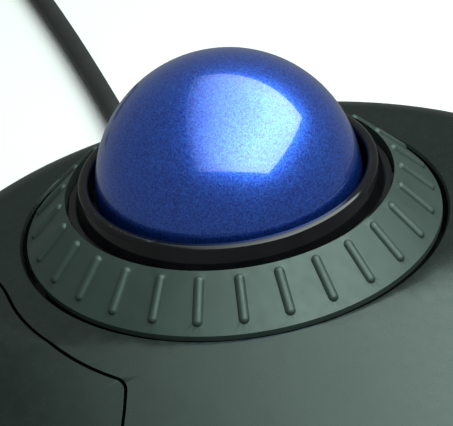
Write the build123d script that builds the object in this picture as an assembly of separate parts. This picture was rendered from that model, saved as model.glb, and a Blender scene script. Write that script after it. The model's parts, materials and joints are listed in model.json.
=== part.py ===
"""Desk trackball with a scroll ring, two wing buttons and a moulded cord.

Millimetres, +Z up, the front (the hand rest) towards -Y.  The origin is on the desk, under the
middle of the body's footprint.
"""
from build123d import *
from math import cos, pi, radians, sin, sqrt, tan
import os

# ---------------------------------------------------------------- driving dimensions
# heights safely outside the body, for cuts that go right through, and how far joined parts overlap
BELOW = -1.0
ABOVE = 60.0
OVERLAP = 0.1

# body
BODY_WIDTH = 118.0
BODY_DEPTH = 133.0
BODY_HALF = BODY_WIDTH / 2
FRONT_Y = -BODY_DEPTH / 2
BACK_Y = BODY_DEPTH / 2
ROUND_Y = BACK_Y - BODY_HALF          # centre of the half-round back, seen from above
FRONT_BULGE = 5.0                     # how far the front edge bows forward of its corners
FRONT_CORNER = 24.0                   # plan radius of the two front corners
FRONT_ROUND = 5.0                     # round between the hand rest and the front
FRONT_ROUND_REACH = 9.0               # only edges this close to the front get it
FEET_HEIGHT = 1.0
WALL = 2.2
FLOOR = 2.2
DECK_Z = 30.1                         # level deck round the scroll ring
RIM_IN = 7.2                          # the rim band starts this far inside the widest line
RIM_DROP = 6.4                        # and rolls down by this much
SIDE_DRAFT = 1.6                      # the side wall leans in by this much at the bottom

# hand rest: a long slope down to the front, crowned from side to side
PALM_START_Y = -5.9                   # where it leaves the deck, on the middle line
PALM_SLOPE = 15.0                     # degrees, at that place
CROWN_RADIUS = 165.0
PALM_DEPTH = 90.0

# parting lines
SPLIT_BACK_Z = 13.0                   # top edge of the base at the back
SPLIT_FRONT_Z = 4.2                   # and at the front
SEAM = 0.5                            # gap between neighbouring covers
WING_GAP = 1.0                        # gap under a wing button, more than its travel
SEAM_RADIUS = 36.2                    # arc of a wing's inner edge
SEAM_Y = 21.1                         # centre of that arc
TIP_ANGLE = 46.0                      # where that arc ends, forward of straight sideways
TIP_ROUND = 2.6
WING_REACH = 72.0                     # beyond the body's side
WING_FRONT_Y = -54.0

# ball, its cup and its collar
BALL_Y = 27.0
BALL_Z = 37.0
BALL_RADIUS = 20.0
CUP_INNER = 21.3
CUP_OUTER = 23.3
SLEEVE_RADIUS = 24.2                  # the scroll ring turns on this sleeve
SHOULDER_RADIUS = 25.6
SHOULDER_Z = 23.95
FLANGE_BOTTOM = 17.5
FLANGE_TOP = 19.5
LENS_WINDOW = 4.6                     # radius of the hole the sensor looks through
ENCODER_SLOT = (7.0, 6.6)             # in the flange, for the ring's light gate
COLLAR_BOTTOM = 31.0
COLLAR_BORE = 20.8
COLLAR_CREST = 2.5                    # above the centre of the ball
COLLAR_FOOT = 35.9                    # height of the ledge outside its wall
SUPPORT_COUNT = 3
SUPPORT_RADIUS = 1.25
SUPPORT_ANGLE = 48.0                  # degrees up from the lowest point of the ball
SUPPORT_GAP = 0.03

# scroll ring
RING_CREST_RADIUS = 24.69
RING_CREST_Z = 37.08
RING_EDGE_RADIUS = 31.28
RING_EDGE_Z = 30.28
RING_EDGE_HEIGHT = 0.8
RING_THICK = 2.3                      # measured straight down
RUNNING_FIT = 0.07
RIB_COUNT = 28
RIB_RADIUS = 0.8
RIB_SINK = 0.22                       # rib centre line below the cone's surface
RIB_START = 1.5                       # along the slant, from the crest
RIB_END = 8.1
SKIRT_INNER = 28.6
SKIRT_OUTER = 29.7
SKIRT_BOTTOM = 20.0
SLOT_WIDTH = 1.7
SLOT_TOP = 24.6
CLIP_Z = 32.0
CLIP_THICK = 0.9
CLIP_INNER = 23.7
CLIP_OUTER = 25.3
RING_BOTTOM = RING_EDGE_Z - RING_EDGE_HEIGHT
RING_SLANT = (RING_CREST_Z - RING_EDGE_Z) / (RING_EDGE_RADIUS - RING_CREST_RADIUS)
RING_INNER_LOW = RING_CREST_RADIUS + (RING_CREST_Z - RING_THICK - RING_BOTTOM) / RING_SLANT
WELL_RADIUS = 32.1
WELL_WALL = 1.7
WELL_CHAMFER = 0.35

# electronics
BOARD_Z = 8.0
BOARD_THICK = 1.6
BOARD_TOP = BOARD_Z + BOARD_THICK
BOARD_STEM = (50.0, 68.0)             # under the ball
BOARD_BAR = (100.0, 18.0)             # across, under the wing buttons
BOARD_Y = 10.0
BAR_Y = 4.0
LENS_TOP = 15.4
LENS_BASE = 11.9
LENS_PLATE = 1.4
LENS_SIDE = 9.0
LENS_RADIUS = 3.6
SENSOR_SIDE = 7.0
LAMP_RADIUS = 1.5
LAMP_TOP = 13.0                       # centre of its round end
LAMP_AWAY = 7.5                       # behind the lens
CHIP = (8.0, 1.4)                     # side and height
CHIP_Y = -12.0
CONNECTOR = (10.0, 4.6, 4.2)
CONNECTOR_PLACE = (14.0, 37.0)
FORK = (5.6, 5.4)                     # the ring's light gate, seen from above
FORK_ARM = 1.6
SWITCH = (6.4, 12.8, 6.5)
SWITCH_X = 44.0
PLUNGER = (2.8, 3.2)
PLUNGER_FIT = 0.2
PLUNGER_HEIGHT = 0.9
PLUNGER_SINK = 1.2
BUTTON_TRAVEL = 0.6
PRESS_GAP = 0.05
POST_RADIUS = 2.0
POST_FIT = 0.06
POST_ENDS = ((48.5, 26.0), (44.0, -18.0))
POST_BOTTOM = 6.0
POST_SOCKET_TOP = 11.5
POST_SPARE = 1.5                      # room under a post when its wing is pressed
PRESSER_RADIUS = 2.4

# screws and feet
CASE_SCREWS = ((-33.0, 46.5), (33.0, 46.5), (-20.0, -48.0), (20.0, -48.0))
BOARD_SCREWS = ((-21.0, 40.0), (21.0, 40.0), (-37.0, 4.0), (37.0, 4.0))
CUP_SCREW_COUNT = 3
CUP_SCREW_CIRCLE = 34.3
CASE_PILLAR = 3.4                     # radii of pillars and bosses
BOARD_PILLAR = 3.0
POST_SOCKET = 4.0
CUP_BOSS = 2.6
CASE_HOLE = 1.6                       # radii of screw holes
CASE_RECESS = 3.0
RECESS_DEPTH = 1.4
CASE_THREAD = 1.2
BOARD_HOLE = 1.3
BOARD_THREAD = 1.0
CUP_HOLE = 1.1
CUP_THREAD = 0.9
DRIVER_WIDTH = 0.7
FOOT_PLACES = ((-36.0, 34.0), (36.0, 34.0), (-34.0, -46.0), (34.0, -46.0))
FOOT_RADIUS = 6.5

# cord
CORD_DIAMETER = 3.8
CORD_Z = 9.0                          # height at which it leaves the body
CORD_REST_Z = CORD_DIAMETER / 2       # height of its middle when it lies on the desk
RELIEF_LENGTH = 15.0
RELIEF_Y = 61.8                       # inner end, just inside the back wall
RELIEF_NECK = 3.15
RELIEF_CORE = 2.35                    # radius left inside the grooves
RELIEF_GROOVES = 4
COIL_MIDDLE_RADIUS = 21.0
COIL_WIDTH = 11.6
COIL_HEIGHT = 15.2
COIL_ROUND = 3.6
TIE_WIDTH = 9.0
TIE_THICK = 0.6
PLUG_WIDTH = 15.6
PLUG_GRIP = 26.0
PLUG_HEIGHT = 8.2
SHELL_WIDTH = 12.0
SHELL_HEIGHT = 4.5
SHELL_LENGTH = 12.0
SHELL_WALL = 0.35
SHELL_WINDOW = (2.4, 2.2)
TONGUE_THICK = 1.9
TONGUE_BOTTOM = -SHELL_HEIGHT / 2 + SHELL_WALL + 0.02
CONTACT_WIDTH = 1.1
CONTACT_THICK = 0.16
CONTACT_PLACES = (-3.5, -1.2, 1.2, 3.5)
TAIL_LEAVES = 150.0                   # degrees round the coil where the tail leaves it
# heading in degrees, run and height at its end, of each straight stretch of the tail
TAIL_RUNS = ((-121.0, 15.0, 3.0), (-112.0, 18.0, 4.1), (-100.0, 15.0, 4.1))


# ---------------------------------------------------------------- small helpers
def at(x, y, z, shape):
    """The shape moved to a place."""
    return Pos(x, y, z) * shape


def box(size_x, size_y, z_low, z_high, x=0.0, y=0.0):
    """A block centred on x and y, between two heights."""
    return at(x, y, (z_low + z_high) / 2, Box(size_x, size_y, z_high - z_low))


def drum(radius, z_low, z_high, x=0.0, y=0.0):
    """An upright cylinder between two heights."""
    return at(x, y, (z_low + z_high) / 2, Cylinder(radius, z_high - z_low))


def tube(outer, inner, z_low, z_high, x=0.0, y=0.0):
    """An upright tube between two heights."""
    return drum(outer, z_low, z_high, x, y) - drum(inner, z_low - 1, z_high + 1, x, y)


def turned(points, y=BALL_Y):
    """A solid of revolution about the upright axis at y, from (radius, height) corners."""
    face = make_face(Plane.XZ * Polyline(*points, close=True))
    return at(0, y, 0, revolve(face, axis=Axis.Z))


def around(count, radius, start):
    """x and y of points spread evenly round the ball's axis, the first at a start angle."""
    for index in range(count):
        angle = radians(start + 360.0 * index / count)
        yield radius * cos(angle), BALL_Y + radius * sin(angle)


def joined(shapes):
    """Separate solids kept together in one file."""
    return Compound(children=list(shapes))


def common(shape, limits):
    """The part of a shape that lies inside the limits."""
    return shape - (box(400, 400, -60, 120) - limits)


def largest(shape):
    """The biggest of a shape's solids."""
    return shape.solids().sort_by(SortBy.VOLUME)[-1]


def save(name, shape):
    """Write one node."""
    solids = shape.solids()
    shape = solids[0] if len(solids) == 1 else Compound(children=list(solids))
    export_step(shape, "parts/" + name + ".step")


# ---------------------------------------------------------------- outer form of the body
def side_section(inset):
    """Right half of the body's cross-section: level deck, rolled rim, leaning side wall."""
    top = DECK_Z - inset
    low = FEET_HEIGHT + inset
    rim = BODY_HALF - RIM_IN - inset * 0.4
    side = BODY_HALF - inset
    rolled = ThreePointArc(
        (rim, top),
        (side - RIM_IN * 0.30, top - RIM_DROP * 0.34),
        (side, top - RIM_DROP),
    )
    return [
        Line((0, top), (rim, top)),
        rolled,
        Line((side, top - RIM_DROP), (side - SIDE_DRAFT, low)),
        Line((side - SIDE_DRAFT, low), (0, low)),
    ]


def half_face(edges):
    """Upright face from the right half of a section, closed down the middle."""
    middle = Line(edges[-1] @ 1, edges[0] @ 0)
    return make_face(Plane.XZ * Curve(children=edges + [middle]))


def whole_face(edges):
    """Upright face from a section's right half and its mirror image."""
    other = [mirror(edge, about=Plane.YZ) for edge in edges]
    return make_face(Plane.XZ * Curve(children=edges + other))


def barrel(inset):
    """The body as a round drum at the back that runs straight on to the front."""
    round_back = revolve(half_face(side_section(inset)), axis=Axis.Z)
    length = ROUND_Y - FRONT_Y + 1
    straight = extrude(whole_face(side_section(inset)), amount=length, dir=(0, -1, 0))
    return at(0, ROUND_Y, 0, round_back + straight)


def footprint(inset):
    """The outline seen from above, as a tall prism: bowed front with two large corners."""
    half = BODY_HALF - inset + 0.5
    front = FRONT_Y + inset
    corner = FRONT_CORNER - inset
    outline = [
        Line((-half, 80), (half, 80)),
        Line((half, 80), (half, front + FRONT_BULGE)),
        ThreePointArc((half, front + FRONT_BULGE), (0, front), (-half, front + FRONT_BULGE)),
        Line((-half, front + FRONT_BULGE), (-half, 80)),
    ]
    prism = extrude(make_face(outline), amount=DECK_Z + 10, dir=(0, 0, 1))
    corners = prism.edges().filter_by(Axis.Z).group_by(Axis.Y)[0]
    return fillet(corners, corner)


def palm_block(inset):
    """Everything under the hand rest: a crowned section with rolled sides, run down the slope."""
    slope = radians(PALM_SLOPE)
    back = BACK_Y + 10
    front = FRONT_Y - 10
    top = DECK_Z + (back - PALM_START_Y) * tan(slope) - inset / cos(slope)
    crown = CROWN_RADIUS - inset
    rim = BODY_HALF - RIM_IN - inset * 0.4
    side = BODY_HALF - inset + 0.4

    def drop(x):
        return crown - sqrt(crown ** 2 - x ** 2)

    edge = top - drop(rim)
    section = [
        ThreePointArc((0, top), (rim / 2, top - drop(rim / 2)), (rim, edge)),
        ThreePointArc(
            (rim, edge),
            (side - RIM_IN * 0.30, edge - RIM_DROP * 0.34),
            (side, edge - RIM_DROP),
        ),
        Line((side, edge - RIM_DROP), (side, top - PALM_DEPTH)),
        Line((side, top - PALM_DEPTH), (0, top - PALM_DEPTH)),
    ]
    face = at(0, back, 0, whole_face(section))
    downhill = (0, -cos(slope), -sin(slope))
    return extrude(face, amount=(back - front) / cos(slope), dir=downhill)


def rounded_front(inset):
    """The footprint cut off by the hand rest, with a round where that meets the bowed front."""
    block = (footprint(inset) & palm_block(inset)).solids()[0]
    crowned_edges = block.edges().filter_by(GeomType.BSPLINE)
    front = [edge for edge in crowned_edges if edge.center().Y < FRONT_Y + FRONT_ROUND_REACH]
    return fillet(front, FRONT_ROUND - inset)


def hull(inset):
    """The whole outer form, moved inwards by inset."""
    return (barrel(inset) & rounded_front(inset)).solids()[0]


# ---------------------------------------------------------------- parting lines
def split_block(raise_by, below):
    """The half space under (or over) the sloping top edge of the base."""
    rise = (SPLIT_BACK_Z - SPLIT_FRONT_Z) / BODY_DEPTH
    reach = 90.0
    middle = (SPLIT_BACK_Z + SPLIT_FRONT_Z) / 2 + raise_by
    near = middle - rise * reach
    far = middle + rise * reach
    limit = -10.0 if below else DECK_Z + 20
    face = make_face(Polyline((0, -reach, near), (0, reach, far), (0, reach, limit), (0, -reach, limit),
                              close=True))
    return extrude(face, amount=reach, dir=(1, 0, 0)) + extrude(face, amount=reach, dir=(-1, 0, 0))


def wing_prism(side, grow):
    """The region of one wing button seen from above, grown or shrunk by half a seam."""
    tip_angle = radians(TIP_ANGLE)
    stops = [
        (WING_REACH, WING_FRONT_Y),
        (SEAM_RADIUS * cos(tip_angle), SEAM_Y - SEAM_RADIUS * sin(tip_angle)),
        (SEAM_RADIUS, SEAM_Y),
        (WING_REACH, SEAM_Y + 24.0),
    ]
    turns = [
        (37.0, -28.0),
        (SEAM_RADIUS * cos(tip_angle / 2), SEAM_Y - SEAM_RADIUS * sin(tip_angle / 2)),
        (SEAM_RADIUS + 4.3, SEAM_Y + 14.0),
    ]
    if side < 0:
        stops = [(-x, y) for x, y in reversed(stops)]
        turns = [(-x, y) for x, y in reversed(turns)]
    outline = [ThreePointArc(*points) for points in zip(stops, turns, stops[1:])]
    outline.append(Line(stops[-1], stops[0]))
    face = make_face(outline)
    tip = face.vertices().sort_by(lambda vertex: abs(vertex.X))[0]
    face = fillet(tip, TIP_ROUND)
    face = offset(face, amount=grow)
    return extrude(face, amount=DECK_Z + 20, dir=(0, 0, 1))


# ---------------------------------------------------------------- covers and base
def base_shell(outside, inside):
    """Tray with a floor, screw pillars, board pillars and sockets for the wings' posts."""
    tray = (outside - inside) & split_block(0, below=True)
    floor_top = FEET_HEIGHT + FLOOR - OVERLAP
    recess_top = FEET_HEIGHT + RECESS_DEPTH
    for x, y in CASE_SCREWS:
        tray += drum(CASE_PILLAR, floor_top, BOARD_Z - 1.1, x, y)
    for x, y in BOARD_SCREWS:
        tray += drum(BOARD_PILLAR, floor_top, BOARD_Z, x, y)
    for x, y in all_posts():
        tray += drum(POST_SOCKET, floor_top, POST_SOCKET_TOP, x, y)
        tray -= drum(POST_RADIUS + POST_FIT, POST_BOTTOM - BUTTON_TRAVEL - POST_SPARE, ABOVE, x, y)
    for x, y in CASE_SCREWS:
        tray -= drum(CASE_HOLE, BELOW, ABOVE, x, y)
        tray -= drum(CASE_RECESS, BELOW, recess_top, x, y)
    for x, y in BOARD_SCREWS:
        tray -= drum(BOARD_THREAD, recess_top, ABOVE, x, y)
    return tray - relief_slot()


def all_posts():
    """Guide post places of both wings."""
    return [(side * x, y) for side in (1, -1) for x, y in POST_ENDS]


def relief_slot():
    """Opening in the back wall that the strain relief is clamped in."""
    return at(0, BACK_Y, CORD_Z, Rot(90, 0, 0) * Cylinder(RELIEF_NECK, 14))


def top_cover(outside, inside):
    """Deck, rim and hand rest in one piece, with the scroll ring's well and the screw bosses."""
    cover = (outside - inside) & split_block(0, below=False)
    under_deck = DECK_Z - 0.5
    bosses = drum(WELL_RADIUS + WELL_WALL, FLANGE_TOP, under_deck, 0, BALL_Y)
    for x, y in around(CUP_SCREW_COUNT, CUP_SCREW_CIRCLE, 90):
        bosses += drum(CUP_BOSS, FLANGE_TOP, under_deck, x, y)
    for x, y in CASE_SCREWS:
        bosses += drum(CASE_PILLAR, BOARD_Z - 1, DECK_Z, x, y)
    cover += common(bosses, outside)
    cover -= drum(WELL_RADIUS, FLANGE_TOP - 1, DECK_Z + 5, 0, BALL_Y)
    chamfer_ring = [
        (WELL_RADIUS - 1, DECK_Z - WELL_CHAMFER - 1),
        (WELL_RADIUS + WELL_CHAMFER + 1, DECK_Z + 1),
        (WELL_RADIUS - 1, DECK_Z + 1),
    ]
    cover -= turned(chamfer_ring)
    for x, y in CASE_SCREWS:
        cover -= drum(CASE_THREAD, BELOW, 12, x, y)
    for x, y in around(CUP_SCREW_COUNT, CUP_SCREW_CIRCLE, 90):
        cover -= drum(CUP_THREAD, 10, FLANGE_TOP + 6, x, y)
    for side in (-1, 1):
        cover = largest(cover - wing_prism(side, SEAM / 2))
    return cover


def wing_button(side, outside, inside):
    """One button: a curved wing with two guide posts and a presser over its switch."""
    region = wing_prism(side, -SEAM / 2) - split_block(WING_GAP, below=True)
    wing = common(outside, region) - common(inside, region)
    presser_bottom = BOARD_TOP + SWITCH[2] + PLUNGER_HEIGHT + PRESS_GAP
    parts = drum(PRESSER_RADIUS, presser_bottom, ABOVE, side * SWITCH_X, BAR_Y)
    for x, y in POST_ENDS:
        parts += drum(POST_RADIUS, POST_BOTTOM, ABOVE, side * x, y)
    wing += common(parts, outside)
    return largest(wing)


# ---------------------------------------------------------------- ball, cup, collar
def ball():
    """The ball the fingers roll."""
    return at(0, BALL_Y, BALL_Z, Sphere(BALL_RADIUS))


def ball_cup():
    """Bowl under the ball, sleeve for the scroll ring, and the flange that holds it to the cover."""
    bowl = at(0, BALL_Y, BALL_Z, Sphere(CUP_OUTER)) & drum(WELL_RADIUS, 0, FLANGE_TOP, 0, BALL_Y)
    sleeve = drum(SLEEVE_RADIUS, FLANGE_BOTTOM, COLLAR_BOTTOM, 0, BALL_Y)
    shoulder = drum(SHOULDER_RADIUS, FLANGE_BOTTOM, SHOULDER_Z, 0, BALL_Y)
    flange = drum(WELL_RADIUS + WELL_WALL, FLANGE_BOTTOM, FLANGE_TOP, 0, BALL_Y)
    cup = bowl + sleeve + shoulder + flange
    for x, y in around(CUP_SCREW_COUNT, CUP_SCREW_CIRCLE, 90):
        cup += drum(CUP_BOSS, FLANGE_BOTTOM, FLANGE_TOP, x, y)
    cup -= at(0, BALL_Y, BALL_Z, Sphere(CUP_INNER))
    cup -= drum(CUP_INNER, BALL_Z - 8, BALL_Z + 5, 0, BALL_Y)
    cup -= drum(LENS_WINDOW, BELOW, BALL_Z - 10, 0, BALL_Y)
    slot_y = BALL_Y - (SHOULDER_RADIUS + WELL_RADIUS) / 2 - 0.1
    cup -= box(*ENCODER_SLOT, 10, SHOULDER_Z + 5, 0, slot_y)
    for x, y in around(CUP_SCREW_COUNT, CUP_SCREW_CIRCLE, 90):
        cup -= drum(CUP_HOLE, 10, 30, x, y)
    for bearing in support_places():
        cup -= Pos(*bearing) * Sphere(SUPPORT_RADIUS)
    return largest(cup)


def support_places():
    """Centres of the three small balls that the large ball rests on."""
    reach = BALL_RADIUS + SUPPORT_RADIUS + SUPPORT_GAP
    level = reach * sin(radians(SUPPORT_ANGLE))
    height = BALL_Z - reach * cos(radians(SUPPORT_ANGLE))
    return [(x, y, height) for x, y in around(SUPPORT_COUNT, level, 30)]


def support_bearings():
    """Three small ceramic balls seated in the cup."""
    return joined(Pos(*place) * Sphere(SUPPORT_RADIUS) for place in support_places())


def ball_collar():
    """Glossy collar round the ball: a rounded lip on a steep wall that stands inside the ring."""
    crest = BALL_Z + COLLAR_CREST
    outline = [
        Line((COLLAR_BORE, COLLAR_BOTTOM), (SLEEVE_RADIUS, COLLAR_BOTTOM)),
        Line((SLEEVE_RADIUS, COLLAR_BOTTOM), (SLEEVE_RADIUS, COLLAR_FOOT)),
        Line((SLEEVE_RADIUS, COLLAR_FOOT), (COLLAR_BORE + 2.5, COLLAR_FOOT)),
        Line((COLLAR_BORE + 2.5, COLLAR_FOOT), (COLLAR_BORE + 1.7, crest - 0.7)),
        ThreePointArc(
            (COLLAR_BORE + 1.7, crest - 0.7),
            (COLLAR_BORE + 1.47, crest - 0.2),
            (COLLAR_BORE + 0.85, crest),
        ),
        ThreePointArc(
            (COLLAR_BORE + 0.85, crest),
            (COLLAR_BORE + 0.2, crest - 0.2),
            (COLLAR_BORE, crest - 0.75),
        ),
        Line((COLLAR_BORE, crest - 0.75), (COLLAR_BORE, COLLAR_BOTTOM)),
    ]
    collar = at(0, BALL_Y, 0, revolve(make_face(Plane.XZ * Curve(children=outline)), axis=Axis.Z))
    groove = tube(SLEEVE_RADIUS + 1, CLIP_INNER, CLIP_Z, CLIP_Z + CLIP_THICK, 0, BALL_Y)
    return collar - groove


# ---------------------------------------------------------------- scroll ring
def ring_grip():
    """The cone that the fingers turn, with its ribs."""
    cone = turned([
        (RING_CREST_RADIUS, RING_CREST_Z),
        (RING_EDGE_RADIUS, RING_EDGE_Z),
        (RING_EDGE_RADIUS, RING_BOTTOM),
        (RING_INNER_LOW, RING_BOTTOM),
        (RING_CREST_RADIUS, RING_CREST_Z - RING_THICK),
    ])
    rib = one_rib()
    for index in range(RIB_COUNT):
        cone += at(0, BALL_Y, 0, Rot(0, 0, -90 + 360.0 * index / RIB_COUNT) * rib)
    return cone


def one_rib():
    """One rib: a round bar laid down the cone's slant, with ball ends."""
    run = RING_EDGE_RADIUS - RING_CREST_RADIUS
    fall = RING_CREST_Z - RING_EDGE_Z
    slant = sqrt(run ** 2 + fall ** 2)
    down = (run / slant, -fall / slant)
    outward = (fall / slant, run / slant)

    def place(along):
        return (
            RING_CREST_RADIUS + down[0] * along - outward[0] * RIB_SINK,
            0,
            RING_CREST_Z + down[1] * along - outward[1] * RIB_SINK,
        )

    start = RIB_START
    end = RIB_END - RIB_RADIUS
    middle = place((start + end) / 2)
    bar = Plane(origin=middle, z_dir=(down[0], 0, down[1])) * Cylinder(RIB_RADIUS, end - start)
    return bar + Pos(*place(start)) * Sphere(RIB_RADIUS) + Pos(*place(end)) * Sphere(RIB_RADIUS)


def ring_carrier():
    """Hub under the cone: it turns on the cup's sleeve and carries the slotted encoder skirt."""
    seat_inner = CLIP_OUTER + 0.35
    seat_top = RING_CREST_Z - RING_THICK - (seat_inner - RING_CREST_RADIUS) * RING_SLANT
    web_top = SLOT_TOP + 1.9
    bore = SLEEVE_RADIUS + RUNNING_FIT
    hub = turned([
        (bore, SHOULDER_Z + 0.05),
        (bore + 1.7, SHOULDER_Z + 0.05),
        (bore + 1.7, web_top),
        (SKIRT_INNER, web_top),
        (SKIRT_INNER, SKIRT_BOTTOM),
        (SKIRT_OUTER, SKIRT_BOTTOM),
        (SKIRT_OUTER, RING_BOTTOM),
        (RING_INNER_LOW, RING_BOTTOM),
        (seat_inner, seat_top),
        (seat_inner, CLIP_Z - 0.1),
        (bore, CLIP_Z - 0.1),
    ])
    slot = box(6.0, SLOT_WIDTH, SKIRT_BOTTOM - 1, SLOT_TOP, (SKIRT_INNER + SKIRT_OUTER) / 2)
    for index in range(RIB_COUNT):
        hub -= at(0, BALL_Y, 0, Rot(0, 0, 360.0 * index / RIB_COUNT) * slot)
    return hub


def ring_clip():
    """Spring clip in the collar's groove that keeps the scroll ring down."""
    return tube(CLIP_OUTER, CLIP_INNER, CLIP_Z, CLIP_Z + CLIP_THICK, 0, BALL_Y)


# ---------------------------------------------------------------- electronics
def main_board():
    """Circuit board: a stem under the ball and a bar that reaches under both wings."""
    board = box(BOARD_STEM[0], BOARD_STEM[1], BOARD_Z, BOARD_TOP, 0, BOARD_Y)
    board += box(BOARD_BAR[0], BOARD_BAR[1], BOARD_Z, BOARD_TOP, 0, BAR_Y)
    for x, y in BOARD_SCREWS:
        board -= drum(BOARD_HOLE, BELOW, ABOVE, x, y)
    return board


def sensor_lens():
    """Clear lens block that looks up at the ball through the hole in the cup."""
    plate = box(LENS_SIDE, LENS_SIDE, LENS_BASE, LENS_BASE + LENS_PLATE, 0, BALL_Y)
    return plate + drum(LENS_RADIUS, LENS_BASE, LENS_TOP, 0, BALL_Y)


def sensor_chip():
    """Optical sensor under the lens."""
    return box(SENSOR_SIDE, SENSOR_SIDE, BOARD_TOP, LENS_BASE, 0, BALL_Y)


def sensor_lamp():
    """Lamp beside the sensor, aimed at the ball."""
    y = BALL_Y + LAMP_AWAY
    body = drum(LAMP_RADIUS, BOARD_TOP, LAMP_TOP, 0, y)
    return body + at(0, y, LAMP_TOP, Sphere(LAMP_RADIUS))


def ring_encoder():
    """Fork-shaped light gate astride the scroll ring's slotted skirt."""
    y_in = BALL_Y - (SHOULDER_RADIUS + 0.6 + SKIRT_INNER - 0.4) / 2
    y_out = BALL_Y - (SKIRT_OUTER + 0.4 + WELL_RADIUS - 0.3) / 2
    y_mid = (y_in + y_out) / 2
    fork = box(*FORK, BOARD_TOP, SKIRT_BOTTOM - 0.6, 0, y_mid)
    fork += box(FORK[0], FORK_ARM, BOARD_TOP, SLOT_TOP - 0.5, 0, y_in)
    fork += box(FORK[0], FORK_ARM, BOARD_TOP, SLOT_TOP - 0.5, 0, y_out)
    return fork


def switch_body(side):
    """Small click switch on the board's bar."""
    width, depth, height = SWITCH
    top = BOARD_TOP + height
    body = box(width, depth, BOARD_TOP, top, side * SWITCH_X, BAR_Y)
    pocket_bottom = top - PLUNGER_SINK - BUTTON_TRAVEL - 0.3
    pocket_width = PLUNGER[0] + 2 * PLUNGER_FIT
    pocket_depth = PLUNGER[1] + 2 * PLUNGER_FIT
    return body - box(pocket_width, pocket_depth, pocket_bottom, ABOVE, side * SWITCH_X, BAR_Y)


def switch_plunger(side):
    """The switch's moving pin."""
    top = BOARD_TOP + SWITCH[2]
    return box(*PLUNGER, top - PLUNGER_SINK, top + PLUNGER_HEIGHT, side * SWITCH_X, BAR_Y)


def board_chip():
    """Controller chip."""
    side, height = CHIP
    return box(side, side, BOARD_TOP, BOARD_TOP + height, 0, CHIP_Y)


def board_connector():
    """Socket block that the cord's wires end in."""
    width, depth, height = CONNECTOR
    return box(width, depth, BOARD_TOP, BOARD_TOP + height, *CONNECTOR_PLACE)


# ---------------------------------------------------------------- fasteners and feet
def screw(head_radius, head_height, shank_radius, length):
    """A screw, head down, that reaches up from z = 0, with a cross cut in its head."""
    body = drum(head_radius, 0, head_height) + drum(shank_radius, head_height - OVERLAP, length)
    cut_depth = head_height * 0.45
    cut_length = head_radius * 1.2
    body -= box(cut_length, DRIVER_WIDTH, BELOW, cut_depth)
    return body - box(DRIVER_WIDTH, cut_length, BELOW, cut_depth)


def case_screws():
    """Four screws that hold the base to the top cover."""
    one = screw(2.7, 1.2, 1.2, 9.0)
    return joined(at(x, y, FEET_HEIGHT + 0.2, one) for x, y in CASE_SCREWS)


def board_screws():
    """Four screws that hold the board, heads up."""
    one = Rot(180, 0, 0) * screw(2.0, 1.2, 0.95, 5.6)
    return joined(at(x, y, BOARD_TOP + 1.2, one) for x, y in BOARD_SCREWS)


def cup_screws():
    """Three screws that hold the cup's flange under the well."""
    one = screw(1.9, 1.1, 0.85, 7.0)
    return joined(
        at(x, y, FLANGE_BOTTOM - 1.1, one)
        for x, y in around(CUP_SCREW_COUNT, CUP_SCREW_CIRCLE, 90)
    )


def feet():
    """Four soft round feet."""
    return joined(drum(FOOT_RADIUS, 0, FEET_HEIGHT, x, y) for x, y in FOOT_PLACES)


# ---------------------------------------------------------------- cord
def strain_relief():
    """Tapered sleeve: a flange behind the back wall, a neck through it, then a grooved taper."""
    profile = [
        (0, 0), (4.2, 0), (4.2, 1.0), (RELIEF_NECK, 1.0), (RELIEF_NECK, 4.1), (3.9, 4.1),
        (2.5, RELIEF_LENGTH), (0, RELIEF_LENGTH),
    ]
    sleeve = revolve(make_face(Plane.XZ * Polyline(*profile, close=True)), axis=Axis.Z)
    for index in range(RELIEF_GROOVES):
        height = 5.2 + index * 2.0
        sleeve -= tube(6, RELIEF_CORE, height, height + 0.8)
    return at(0, RELIEF_Y, CORD_Z, Rot(-90, 0, 0) * sleeve)


def cord_points():
    """Corners of the cord's route from the strain relief to the coil."""
    start = RELIEF_Y + RELIEF_LENGTH
    return [
        (0, start, CORD_Z),
        (0, start + 9, CORD_Z),
        (0, start + 24, CORD_REST_Z + 0.8),
        (0.2, start + 45, CORD_REST_Z),
        (-1.0, start + 83, CORD_REST_Z),
        (-4.5, start + 128, CORD_REST_Z),
        (-13.0, start + 171, CORD_REST_Z),
        (-27.0, start + 206, CORD_REST_Z),
    ]


def corner_radii(points):
    """The largest arc that each corner's two runs leave room for."""
    radii = []
    for before, here, after in zip(points, points[1:], points[2:]):
        first = Vector(*here) - Vector(*before)
        second = Vector(*after) - Vector(*here)
        half_turn = radians(first.get_angle(second)) / 2
        radii.append(0.45 * min(first.length, second.length) / tan(half_turn))
    return radii


def coil_centre(path):
    """Middle of the coil: the cord runs into its outside as a tangent."""
    end = path @ 1
    along = path % 1
    inward = Vector(-along.Y, along.X, 0)
    return Vector(end.X, end.Y, 0) + inward * COIL_MIDDLE_RADIUS


def cord_coil(centre):
    """The put-away length: one solid of the coil's outer shape."""
    outer = COIL_MIDDLE_RADIUS + COIL_WIDTH / 2
    inner = COIL_MIDDLE_RADIUS - COIL_WIDTH / 2
    body = tube(outer, inner, 0, COIL_HEIGHT, centre.X, centre.Y)
    rims = [edge for edge in body.edges() if edge.geom_type == GeomType.CIRCLE]
    return fillet(rims, COIL_ROUND)


def coil_tie(centre):
    """Band over the coil's section, on the side away from the body."""
    outer = COIL_MIDDLE_RADIUS + COIL_WIDTH / 2
    inner = COIL_MIDDLE_RADIUS - COIL_WIDTH / 2
    sleeve = tube(outer + TIE_THICK, inner - TIE_THICK, 0, COIL_HEIGHT + TIE_THICK)
    sleeve -= tube(outer, inner, -1, COIL_HEIGHT)
    limits = box(TIE_WIDTH, COIL_WIDTH * 2, -1, COIL_HEIGHT + 2, 0, COIL_MIDDLE_RADIUS)
    return at(centre.X, centre.Y, 0, sleeve & limits)


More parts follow.
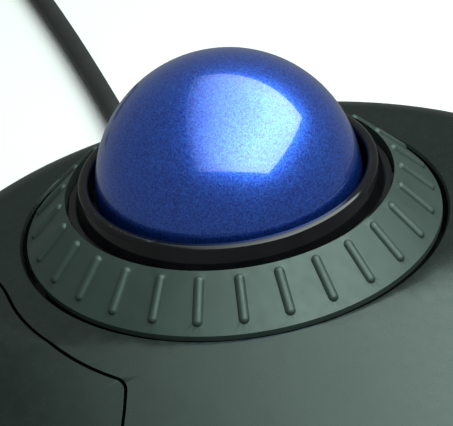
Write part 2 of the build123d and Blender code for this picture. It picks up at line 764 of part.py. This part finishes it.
def tail_points(centre):
    """Corners of the short tail from the coil to the plug."""
    leave = radians(TAIL_LEAVES)
    reach = COIL_MIDDLE_RADIUS + 2
    point = (centre.X + reach * cos(leave), centre.Y + reach * sin(leave), CORD_REST_Z)
    points = [point]
    for heading, run, height in TAIL_RUNS:
        turn = radians(heading)
        point = (point[0] + run * cos(turn), point[1] + run * sin(turn), height)
        points.append(point)
    return points


def cord_tube(points):
    """Round cord along straight runs joined by the largest tangent arcs."""
    path = FilletPolyline(*points, radius=corner_radii(points))
    start = Plane(origin=path @ 0, z_dir=path % 0)
    tube_solid = sweep(start * Circle(CORD_DIAMETER / 2), path=path)
    section = pi * CORD_DIAMETER ** 2 / 4
    print("corner radii", [round(radius, 1) for radius in corner_radii(points)])
    print("length", round(path.length, 1), "volume ratio", tube_solid.volume / (section * path.length))
    return tube_solid, path


def on_plug(centre, shape):
    """Move a shape drawn along +X, with the cord entering at x = 0, onto the tail's end."""
    x, y, height = tail_points(centre)[-1]
    return at(x, y, height, Rot(0, 0, TAIL_RUNS[-1][0]) * shape)


def plug_grip(centre):
    """Moulded grip of the plug."""
    grip = at(PLUG_GRIP / 2, 0, 0, Box(PLUG_GRIP, PLUG_WIDTH, PLUG_HEIGHT))
    upright = grip.edges().filter_by(Axis.Z)
    return on_plug(centre, fillet(upright, 2.4))


def plug_shell(centre):
    """Thin metal sleeve of the plug, with its two square windows."""
    sleeve = Box(SHELL_LENGTH, SHELL_WIDTH, SHELL_HEIGHT)
    sleeve -= Box(SHELL_LENGTH + 1, SHELL_WIDTH - 2 * SHELL_WALL, SHELL_HEIGHT - 2 * SHELL_WALL)
    for y in (-2.5, 2.5):
        sleeve -= at(0.5, y, SHELL_HEIGHT / 2, Box(*SHELL_WINDOW, 2))
    return on_plug(centre, at(PLUG_GRIP + SHELL_LENGTH / 2, 0, 0, sleeve))


def plug_tongue(centre):
    """Plastic tongue that carries the plug's contacts."""
    tongue = Box(SHELL_LENGTH - 0.6, SHELL_WIDTH - 2 * SHELL_WALL - 0.1, TONGUE_THICK)
    middle = PLUG_GRIP + SHELL_LENGTH / 2 - 0.3
    return on_plug(centre, at(middle, 0, TONGUE_BOTTOM + TONGUE_THICK / 2, tongue))


def plug_contacts(centre):
    """Four flat contacts on top of the tongue."""
    strip = Box(SHELL_LENGTH - 3, CONTACT_WIDTH, CONTACT_THICK)
    middle = PLUG_GRIP + SHELL_LENGTH / 2 - 0.6
    height = TONGUE_BOTTOM + TONGUE_THICK + CONTACT_THICK / 2
    return on_plug(centre, joined(at(middle, y, height, strip) for y in CONTACT_PLACES))


# ---------------------------------------------------------------- make and write everything
def main():
    """Make every node and write it to its own file."""
    os.makedirs("parts", exist_ok=True)
    outside = hull(0)
    inside = hull(WALL)
    save("base_shell", base_shell(outside, inside))
    save("top_cover", top_cover(outside, inside))
    save("left_button", wing_button(-1, outside, inside))
    save("right_button", wing_button(1, outside, inside))
    save("ball", ball())
    save("ball_cup", ball_cup())
    save("ball_collar", ball_collar())
    save("support_bearings", support_bearings())
    save("ring_grip", ring_grip())
    save("ring_carrier", ring_carrier())
    save("ring_clip", ring_clip())
    save("main_board", main_board())
    save("sensor_lens", sensor_lens())
    save("sensor_chip", sensor_chip())
    save("sensor_lamp", sensor_lamp())
    save("ring_encoder", ring_encoder())
    save("board_chip", board_chip())
    save("board_connector", board_connector())
    for name, side in (("left", -1), ("right", 1)):
        save(name + "_switch_body", switch_body(side))
        save(name + "_switch_plunger", switch_plunger(side))
    save("case_screws", case_screws())
    save("board_screws", board_screws())
    save("cup_screws", cup_screws())
    save("feet", feet())
    save("strain_relief", strain_relief())
    tube_solid, path = cord_tube(cord_points())
    save("cord", tube_solid)
    centre = coil_centre(path)
    save("cord_coil", cord_coil(centre))
    save("coil_tie", coil_tie(centre))
    tail, tail_path = cord_tube(tail_points(centre))
    save("cord_tail", tail)
    save("plug_grip", plug_grip(centre))
    save("plug_shell", plug_shell(centre))
    save("plug_tongue", plug_tongue(centre))
    save("plug_contacts", plug_contacts(centre))
    print("coil centre", centre, "cord end", path @ 1, "along", path % 1)


main()
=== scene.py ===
"""Looks of the desk trackball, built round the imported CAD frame.

Everything is in metres, in the frame of the CAD model: +Z up, -Y the front, where the hand rests.
"""

import json
from math import cos, pi, radians, sin

import bpy
from mathutils import Matrix, Vector


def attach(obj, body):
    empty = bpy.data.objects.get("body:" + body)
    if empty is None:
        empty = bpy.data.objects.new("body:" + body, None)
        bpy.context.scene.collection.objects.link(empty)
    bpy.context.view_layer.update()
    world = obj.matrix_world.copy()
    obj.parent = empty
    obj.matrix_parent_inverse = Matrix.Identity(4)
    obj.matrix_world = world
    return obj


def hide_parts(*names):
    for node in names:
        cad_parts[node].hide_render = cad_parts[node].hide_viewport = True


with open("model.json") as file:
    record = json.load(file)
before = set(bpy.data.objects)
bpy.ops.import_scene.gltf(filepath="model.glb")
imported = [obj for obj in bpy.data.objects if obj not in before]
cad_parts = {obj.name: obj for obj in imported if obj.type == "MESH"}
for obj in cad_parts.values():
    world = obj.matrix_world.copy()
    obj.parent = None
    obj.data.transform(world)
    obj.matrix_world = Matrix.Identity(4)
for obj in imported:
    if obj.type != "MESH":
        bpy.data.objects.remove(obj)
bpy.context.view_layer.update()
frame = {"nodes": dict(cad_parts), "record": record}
MM = 0.001

# ---------------------------------------------------------------- driving values
# camera
VIEW_AZIMUTH = radians(-12.0)          # 0 looks along +Y
VIEW_ELEVATION = radians(30.975)
VIEW_ROLL = radians(-7.4254)
VIEW_DISTANCE = 0.450
VIEW_LENS = 238.84                     # millimetres, on a sensor of the width below
SENSOR_WIDTH = 36.0
NEAR_LIMIT = 10 * MM
BALL_CENTRE = Vector((0.0, 0.027, 0.037))
AIM_RIGHT = -0.986 * MM                # from the ball's centre to the point the view is aimed at
AIM_UP = -5.3825 * MM

# cord
CORD_DIAMETER = 3.8 * MM
CORD_ROUNDNESS = 5                     # the higher, the rounder its section
CORD_STEPS = 6                         # steps along it between two control points
EXIT = (0.0, 76.8, 9.0)                # millimetres, like the route's other points
ROUTE = (
    EXIT,
    (0.0, 85.8, 9.0),
    (0.0, 100.8, 2.7),
    (0.2, 121.8, 1.9),
    (-1.0, 159.8, 1.9),
    (-4.5, 204.8, 1.9),
    (-13.0, 247.8, 1.9),
    (-27.0, 282.8, 1.9),
)
COIL_CENTRE = (-46.5, 275.0)
COIL_COLUMNS = (17.1, 21.0, 24.9)      # radii of the turns, from the inside out
COIL_ROWS = (1.9, 5.7, 9.5, 13.3)      # heights of the turns
COIL_START = 40.0                      # degrees round the coil of its first control point
COIL_STEP = 18.0                       # degrees from one control point to the next
COIL_CROSSING = 36.0                   # degrees in which a turn moves to its next place
# column and row of each turn, and where round the coil it starts to move over to the next one
COIL_TURNS = (
    (1, 0, 300.0),
    (0, 0, 264.0),
    (0, 1, 264.0),
    (0, 2, 264.0),
    (0, 3, 228.0),
    (1, 3, 228.0),
    (2, 3, 192.0),
    (2, 2, 156.0),
    (1, 2, 120.0),
    (1, 1, 84.0),
    (2, 1, 48.0),
    (2, 0, 150.0),
)
TAIL = ((-74.1, 273.6, 3.0), (-80.9, 257.0, 4.1), (-83.5, 242.2, 4.1))

# rounding of the sharp edges
EDGE_ANGLE = radians(38)               # edges that turn by more than this get a round
EDGE_STEPS = 3
WELD_REACH = 0.002 * MM                # joins the loose corners of neighbouring faces first
FACE_WEIGHT = 80                       # how much the large faces lead the shading of a round

# room and floor
FLOOR_HALF = 2.5
ROOM_STRENGTH = 0.22
ROOM_TINT = (0.90, 1.0, 0.96)

# soft box: its height above the desk, and its edges seen from the ball, along its own right and back
SOFT_BOX_HEIGHT = 0.487
SOFT_BOX_TURN = radians(-25.0)
SOFT_BOX_LEFT = -0.21
SOFT_BOX_RIGHT = 0.69
SOFT_BOX_FRONT = -0.55
SOFT_BOX_BACK = 0.42
SOFT_BOX_STRIPS = 24
STRIPS_THAT_RISE = 14                  # from the dim left edge to full brightness
DIM_SIDE = 0.45                        # radiance at the left edge
BRIGHT_SIDE = 6.6
SOFT_BOX_TINT = (0.89, 1.0, 0.955)


# ---------------------------------------------------------------- camera
def make_camera():
    """The camera: aimed just below the ball from the front, and rolled a little."""
    back = Vector((
        sin(VIEW_AZIMUTH) * cos(VIEW_ELEVATION),
        -cos(VIEW_AZIMUTH) * cos(VIEW_ELEVATION),
        sin(VIEW_ELEVATION),
    ))
    right = Vector((cos(VIEW_AZIMUTH), sin(VIEW_AZIMUTH), 0.0))
    up = back.cross(right)
    aim = BALL_CENTRE + right * AIM_RIGHT + Vector((0.0, 0.0, AIM_UP))
    turned_right = right * cos(VIEW_ROLL) + up * sin(VIEW_ROLL)
    turned_up = up * cos(VIEW_ROLL) - right * sin(VIEW_ROLL)
    camera_data = bpy.data.cameras.new("camera")
    camera_data.lens = VIEW_LENS
    camera_data.sensor_width = SENSOR_WIDTH
    camera_data.clip_start = NEAR_LIMIT
    camera = bpy.data.objects.new("camera", camera_data)
    axes = Matrix((turned_right, turned_up, back)).transposed().to_4x4()
    camera.matrix_world = Matrix.Translation(aim + back * VIEW_DISTANCE) @ axes
    bpy.context.scene.collection.objects.link(camera)
    bpy.context.scene.camera = camera


# ---------------------------------------------------------------- cord
def coil_points():
    """The coil's turns: each runs level, then moves over to the next one's column and row."""
    spread = 1 / cos(radians(COIL_STEP) / 2)
    angle = COIL_START
    points = []
    places = [(COIL_COLUMNS[column], COIL_ROWS[row], leave) for column, row, leave in COIL_TURNS]
    last = None
    for radius, height, leave in places:
        if last is not None:
            middle = ((last[0] + radius) / 2, (last[1] + height) / 2)
            points.append((angle, *middle))
            angle += COIL_CROSSING - COIL_STEP
        stop = angle + (leave - angle) % 360
        if stop - angle < 1:
            stop += 360
        while angle < stop - 1:
            points.append((angle, radius, height))
            angle += COIL_STEP
        points.append((stop, radius, height))
        angle = stop + COIL_STEP
        last = (radius, height)
    return [
        (
            COIL_CENTRE[0] + radius * spread * cos(radians(angle)),
            COIL_CENTRE[1] + radius * spread * sin(radians(angle)),
            height,
        )
        for angle, radius, height in points
    ]


def make_cord(material):
    """The whole cord as one smooth curve: from the body to the coil, round it, and to the plug."""
    points = list(ROUTE) + coil_points() + list(TAIL)
    curve = bpy.data.curves.new("cord_line", "CURVE")
    curve.dimensions = "3D"
    curve.bevel_depth = CORD_DIAMETER / 2
    curve.bevel_resolution = CORD_ROUNDNESS
    curve.resolution_u = CORD_STEPS
    curve.use_fill_caps = True
    spline = curve.splines.new("NURBS")
    spline.points.add(len(points) - 1)
    for control, point in zip(spline.points, points):
        control.co = (*(value * MM for value in point), 1.0)
    spline.order_u = 3
    spline.use_endpoint_u = True
    cord = bpy.data.objects.new("cord_line", curve)
    cord.data.materials.append(material)
    bpy.context.scene.collection.objects.link(cord)
    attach(cord, "housing")
    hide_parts("cord", "cord_coil", "cord_tail")


# ---------------------------------------------------------------- building blocks for materials
class Paint:
    """A node material in the making, around one Principled shader."""

    def __init__(self, name, **constants):
        self.material = bpy.data.materials.new(name)
        self.material.use_nodes = True
        self.nodes = self.material.node_tree.nodes
        self.links = self.material.node_tree.links
        self.shader = self.nodes["Principled BSDF"]
        self.place = self.nodes.new("ShaderNodeTexCoord").outputs["Object"]
        for socket, value in constants.items():
            self.shader.inputs[socket.replace("_", " ")].default_value = value

    def node(self, kind, **inputs):
        """A new node with some of its inputs set to numbers or joined to sockets."""
        node = self.nodes.new(kind)
        for socket, value in inputs.items():
            target = node.inputs[socket.replace("_", " ")]
            if isinstance(value, bpy.types.NodeSocket):
                self.links.new(value, target)
            else:
                target.default_value = value
        return node

    def noise(self, size, detail=3.0, roughness=0.55):
        """Noise whose blotches measure about size, in metres."""
        node = self.node("ShaderNodeTexNoise", Vector=self.place, Scale=1 / size, Detail=detail,
                         Roughness=roughness)
        return node.outputs["Fac"]

    def grains(self, size):
        """Small round cells, for grain and sparkle: (distance from a cell's middle, its own shade)."""
        node = self.node("ShaderNodeTexVoronoi", Vector=self.place, Scale=1 / size)
        return node.outputs["Distance"], node.outputs["Color"]

    def ramp(self, factor, low, high, start=0.3, end=0.7):
        """A blend from one colour to another as the factor goes from start to end."""
        node = self.node("ShaderNodeValToRGB", Fac=factor)
        node.color_ramp.elements[0].position = start
        node.color_ramp.elements[0].color = (*low, 1.0)
        node.color_ramp.elements[1].position = end
        node.color_ramp.elements[1].color = (*high, 1.0)
        return node.outputs["Color"]

    def span(self, factor, low, high):
        """The factor's middle range turned into a number between low and high."""
        node = self.node("ShaderNodeMapRange", Value=factor, From_Min=0.3, From_Max=0.7, To_Min=low,
                         To_Max=high)
        return node.outputs["Result"]

    def times(self, first, second):
        """Two colours multiplied."""
        node = self.node("ShaderNodeMix", Factor=1.0)
        node.data_type = "RGBA"
        node.blend_type = "MULTIPLY"
        # the node keeps a pair of inputs for every kind of value: take the colours
        colours = [socket for socket in node.inputs if socket.type == "RGBA"]
        self.links.new(first, colours[0])
        self.links.new(second, colours[1])
        return next(socket for socket in node.outputs if socket.type == "RGBA")

    def set(self, socket, value):
        """Join something that varies to one of the shader's sockets."""
        self.links.new(value, self.shader.inputs[socket])

    def relief(self, *layers):
        """Bump from layers of (height, depth in metres), one on top of another."""
        normal = None
        for height, depth in layers:
            node = self.node("ShaderNodeBump", Height=height, Strength=1.0, Distance=depth)
            if normal is not None:
                self.links.new(normal, node.inputs["Normal"])
            normal = node.outputs["Normal"]
        self.set("Normal", normal)


def moulded(name, dark, light, rough, grain=0.22 * MM, depth=0.006 * MM, **constants):
    """Moulded plastic or rubber: blotchy colour, uneven gloss and a fine spark-eroded grain."""
    paint = Paint(name, **constants)
    paint.set("Base Color", paint.ramp(paint.noise(9 * MM, 5.0), dark, light))
    paint.set("Roughness", paint.span(paint.noise(1.6 * MM, 4.0), rough[0], rough[1]))
    paint.relief((paint.noise(grain, 2.0), depth), (paint.noise(4 * MM), depth))
    return paint.material


def metal(name, dark, light, rough, brush=(1.0, 1.0, 14.0)):
    """Metal with fine lines along the brushing and small stains."""
    paint = Paint(name, Metallic=1.0)
    stretch = paint.node("ShaderNodeMapping", Vector=paint.place)
    stretch.inputs["Scale"].default_value = brush
    lines = paint.node("ShaderNodeTexNoise", Vector=stretch.outputs["Vector"], Scale=700.0, Detail=4.0)
    paint.set("Base Color", paint.ramp(paint.noise(1.5 * MM, 4.0), dark, light))
    paint.set("Roughness", paint.span(lines.outputs["Fac"], rough[0], rough[1]))
    paint.relief((lines.outputs["Fac"], 0.004 * MM))
    return paint.material


# ---------------------------------------------------------------- the materials
def body_grey():
    """Dark grey-green satin plastic of the covers, with the finest grain."""
    return moulded("body_grey", (0.0020, 0.0036, 0.0031), (0.0034, 0.0056, 0.0049), (0.23, 0.29),
                   Specular_Tint=(0.78, 1.0, 0.92, 1.0))


def base_grey():
    """The base: a shade darker and rougher."""
    return moulded("base_grey", (0.008, 0.011, 0.0105), (0.012, 0.016, 0.015), (0.48, 0.6),
                   depth=0.012 * MM)


def ring_grey():
    """Soft-touch grey of the scroll ring."""
    return moulded("ring_grey", (0.016, 0.026, 0.022), (0.023, 0.035, 0.031), (0.40, 0.50),
                   grain=0.16 * MM, depth=0.008 * MM, Specular_Tint=(0.8, 1.0, 0.93, 1.0))


def collar_black():
    """Polished black plastic, with faint waves and an uneven gloss."""
    paint = Paint("collar_black", IOR=1.45)
    paint.set("Base Color", paint.ramp(paint.noise(6 * MM), (0.002, 0.002, 0.0025),
                                       (0.004, 0.004, 0.005)))
    paint.set("Roughness", paint.span(paint.noise(0.8 * MM, 5.0), 0.08, 0.16))
    paint.relief((paint.noise(5 * MM, 1.0), 0.01 * MM))
    return paint.material


def ball_blue():
    """Pearlescent blue: a polished coat over metallic flakes that spread the light widely."""
    paint = Paint("ball_blue", Metallic=0.92, Coat_Weight=1.0, Coat_Roughness=0.06, Coat_IOR=1.6)
    distance, shade = paint.grains(0.16 * MM)
    flakes = paint.ramp(shade, (0.014, 0.046, 0.42), (0.042, 0.180, 0.88), 0.15, 0.85)
    clouds = paint.ramp(paint.noise(7 * MM, 4.0), (0.82, 0.82, 0.9), (1.0, 1.0, 1.0))
    paint.set("Base Color", paint.times(flakes, clouds))
    paint.set("Roughness", paint.span(paint.noise(0.5 * MM, 4.0), 0.26, 0.36))
    paint.relief((distance, 0.004 * MM))
    return paint.material


def cord_black():
    """Smooth satin jacket of the cord, with a fine grain."""
    paint = Paint("cord_black")
    paint.set("Base Color", paint.ramp(paint.noise(5 * MM, 4.0), (0.008, 0.009, 0.009),
                                       (0.014, 0.016, 0.016)))
    paint.set("Roughness", paint.span(paint.noise(0.9 * MM, 4.0), 0.34, 0.46))
    paint.relief((paint.noise(0.3 * MM, 2.0), 0.008 * MM))
    return paint.material


def board_green():
    """Circuit board: green mask over copper tracks that show as paler, raised lines."""
    paint = Paint("board_green", Coat_Weight=0.3, Coat_Roughness=0.2)
    tracks = paint.node("ShaderNodeTexBrick", Vector=paint.place, Scale=260.0, Mortar_Size=0.09)
    tracks.inputs["Color1"].default_value = (0.012, 0.12, 0.05, 1.0)
    tracks.inputs["Color2"].default_value = (0.014, 0.14, 0.06, 1.0)
    tracks.inputs["Mortar"].default_value = (0.05, 0.26, 0.10, 1.0)
    paint.set("Base Color", tracks.outputs["Color"])
    paint.set("Roughness", paint.span(paint.noise(2 * MM), 0.3, 0.45))
    paint.relief((tracks.outputs["Fac"], 0.02 * MM))
    return paint.material


def clear(name, dark, light):
    """Clear moulded plastic with faint flow lines."""
    paint = Paint(name, Transmission_Weight=0.85, IOR=1.49)
    paint.set("Base Color", paint.ramp(paint.noise(2 * MM), dark, light))
    paint.set("Roughness", paint.span(paint.noise(1 * MM, 4.0), 0.04, 0.12))
    paint.relief((paint.noise(1.2 * MM), 0.006 * MM))
    return paint.material


def make_materials():
    """Every material of the record, by the name of its slot."""
    body = body_grey()
    return {
        "body_grey": body,
        "button_grey": body,
        "base_grey": base_grey(),
        "ring_grey": ring_grey(),
        "carrier_plastic": moulded("carrier_plastic", (0.012, 0.012, 0.012), (0.02, 0.02, 0.02),
                                   (0.35, 0.5)),
        "collar_black": collar_black(),
        "cup_plastic": moulded("cup_plastic", (0.006, 0.006, 0.006), (0.011, 0.011, 0.011), (0.4, 0.55)),
        "ball_blue": ball_blue(),
        "bearing_ceramic": moulded("bearing_ceramic", (0.75, 0.75, 0.70), (0.84, 0.84, 0.80),
                                   (0.1, 0.2), depth=0.002 * MM),
        "spring_steel": metal("spring_steel", (0.42, 0.42, 0.42), (0.6, 0.6, 0.6), (0.25, 0.4)),
        "screw_steel": metal("screw_steel", (0.45, 0.45, 0.48), (0.62, 0.62, 0.65), (0.28, 0.45)),
        "board_green": board_green(),
        "chip_black": moulded("chip_black", (0.010, 0.010, 0.011), (0.018, 0.018, 0.019), (0.5, 0.65),
                              grain=0.1 * MM),
        "lens_clear": clear("lens_clear", (0.85, 0.88, 0.9), (0.95, 0.96, 0.98)),
        "lamp_clear": clear("lamp_clear", (0.75, 0.16, 0.14), (0.9, 0.26, 0.22)),
        "switch_black": moulded("switch_black", (0.01, 0.01, 0.01), (0.018, 0.018, 0.018), (0.4, 0.55)),
        "plunger_red": moulded("plunger_red", (0.40, 0.04, 0.025), (0.52, 0.07, 0.04), (0.35, 0.5)),
        "connector_white": moulded("connector_white", (0.62, 0.61, 0.56), (0.72, 0.71, 0.66), (0.4, 0.5)),
        "foot_rubber": moulded("foot_rubber", (0.012, 0.012, 0.012), (0.022, 0.022, 0.022), (0.7, 0.85),
                               grain=0.3 * MM, depth=0.02 * MM),
        "cord_black": cord_black(),
        "tie_black": moulded("tie_black", (0.01, 0.01, 0.01), (0.018, 0.018, 0.018), (0.4, 0.55),
                             grain=0.4 * MM, depth=0.02 * MM),
        "plug_steel": metal("plug_steel", (0.55, 0.55, 0.56), (0.72, 0.72, 0.73), (0.14, 0.3)),
        "plug_tongue_white": moulded("plug_tongue_white", (0.68, 0.68, 0.68), (0.78, 0.78, 0.78),
                                     (0.35, 0.45)),
        "contact_gold": metal("contact_gold", (0.62, 0.42, 0.12), (0.82, 0.62, 0.25), (0.18, 0.32)),
    }


# ---------------------------------------------------------------- CAD nodes
# rounding of the sharp edges, in millimetres
EDGE_ROUNDING = {
    "top_cover": 0.25,
    "left_button": 0.25,
    "right_button": 0.25,
    "base_shell": 0.3,
    "ring_grip": 0.18,
    "plug_grip": 0.8,
    "coil_tie": 0.15,
    "main_board": 0.1,
    "board_chip": 0.12,
    "sensor_chip": 0.12,
    "board_connector": 0.2,
    "left_switch_body": 0.25,
    "right_switch_body": 0.25,
    "left_switch_plunger": 0.2,
    "right_switch_plunger": 0.2,
    "ring_encoder": 0.2,
    "feet": 0.25,
    "plug_tongue": 0.1,
    "strain_relief": 0.1,
}


def round_edges(node, radius):
    """Small rounds on a CAD node's sharp edges, which catch the light as the real ones do."""
    weld = node.modifiers.new("weld", "WELD")
    weld.merge_threshold = WELD_REACH
    bevel = node.modifiers.new("edges", "BEVEL")
    bevel.width = radius * MM
    bevel.segments = EDGE_STEPS
    bevel.limit_method = "ANGLE"
    bevel.angle_limit = EDGE_ANGLE
    evened = node.modifiers.new("evened_normals", "WEIGHTED_NORMAL")
    evened.mode = "FACE_AREA"
    evened.weight = FACE_WEIGHT


def finish_nodes(materials):
    """Each CAD node gets the material of its slot, and its edges their rounding."""
    slots = {part["node"]: part["material_slot"] for part in frame["record"]["subparts"]}
    for name, node in frame["nodes"].items():
        node.data.materials.clear()
        node.data.materials.append(materials[slots[name]])
        if name in EDGE_ROUNDING:
            round_edges(node, EDGE_ROUNDING[name])


# ---------------------------------------------------------------- studio
def make_floor():
    """A plain pale sheet under everything."""
    mesh = bpy.data.meshes.new("floor")
    corners = [(x * FLOOR_HALF, y * FLOOR_HALF, 0) for x, y in ((-1, -1), (1, -1), (1, 1), (-1, 1))]
    mesh.from_pydata(corners, [], [(0, 1, 2, 3)])
    floor = bpy.data.objects.new("floor", mesh)
    bpy.context.scene.collection.objects.link(floor)
    paint = Paint("floor")
    paint.set("Base Color", paint.ramp(paint.noise(0.3), (0.64, 0.64, 0.64), (0.66, 0.66, 0.66)))
    paint.set("Roughness", paint.span(paint.noise(0.05), 0.6, 0.7))
    mesh.materials.append(paint.material)
    floor.visible_glossy = False       # glossy pieces reflect the even room instead


def make_lights():
    """A wide soft box overhead, dim at the left and brighter strip by strip to the right."""
    width = (SOFT_BOX_RIGHT - SOFT_BOX_LEFT) / SOFT_BOX_STRIPS
    depth = SOFT_BOX_BACK - SOFT_BOX_FRONT
    right = Vector((cos(SOFT_BOX_TURN), sin(SOFT_BOX_TURN), 0.0))
    back = Vector((-sin(SOFT_BOX_TURN), cos(SOFT_BOX_TURN), 0.0))
    for index in range(SOFT_BOX_STRIPS):
        rise = min(1.0, index / STRIPS_THAT_RISE)
        radiance = DIM_SIDE + (BRIGHT_SIDE - DIM_SIDE) * rise
        light = bpy.data.lights.new("soft_box_" + str(index), "AREA")
        light.shape = "RECTANGLE"
        light.size = width
        light.size_y = depth
        light.energy = radiance * pi * width * depth
        light.color = SOFT_BOX_TINT
        lamp = bpy.data.objects.new(light.name, light)
        place = right * (SOFT_BOX_LEFT + (index + 0.5) * width)
        place += back * (SOFT_BOX_FRONT + SOFT_BOX_BACK) / 2
        lamp.location = (place.x, BALL_CENTRE.y + place.y, SOFT_BOX_HEIGHT)
        lamp.rotation_euler = (0.0, 0.0, SOFT_BOX_TURN)
        lamp.visible_camera = False
        bpy.context.scene.collection.objects.link(lamp)


def make_room():
    """A dim, even room round everything, and plain colours."""
    world = bpy.data.worlds.new("room")
    world.use_nodes = True
    background = world.node_tree.nodes["Background"]
    background.inputs["Color"].default_value = (*ROOM_TINT, 1.0)
    background.inputs["Strength"].default_value = ROOM_STRENGTH
    bpy.context.scene.world = world
    bpy.context.scene.view_settings.view_transform = "Standard"


def main():
    """Build the scene."""
    make_camera()
    materials = make_materials()
    finish_nodes(materials)
    make_cord(materials["cord_black"])
    make_floor()
    make_lights()
    make_room()
    bpy.context.view_layer.update()


main()
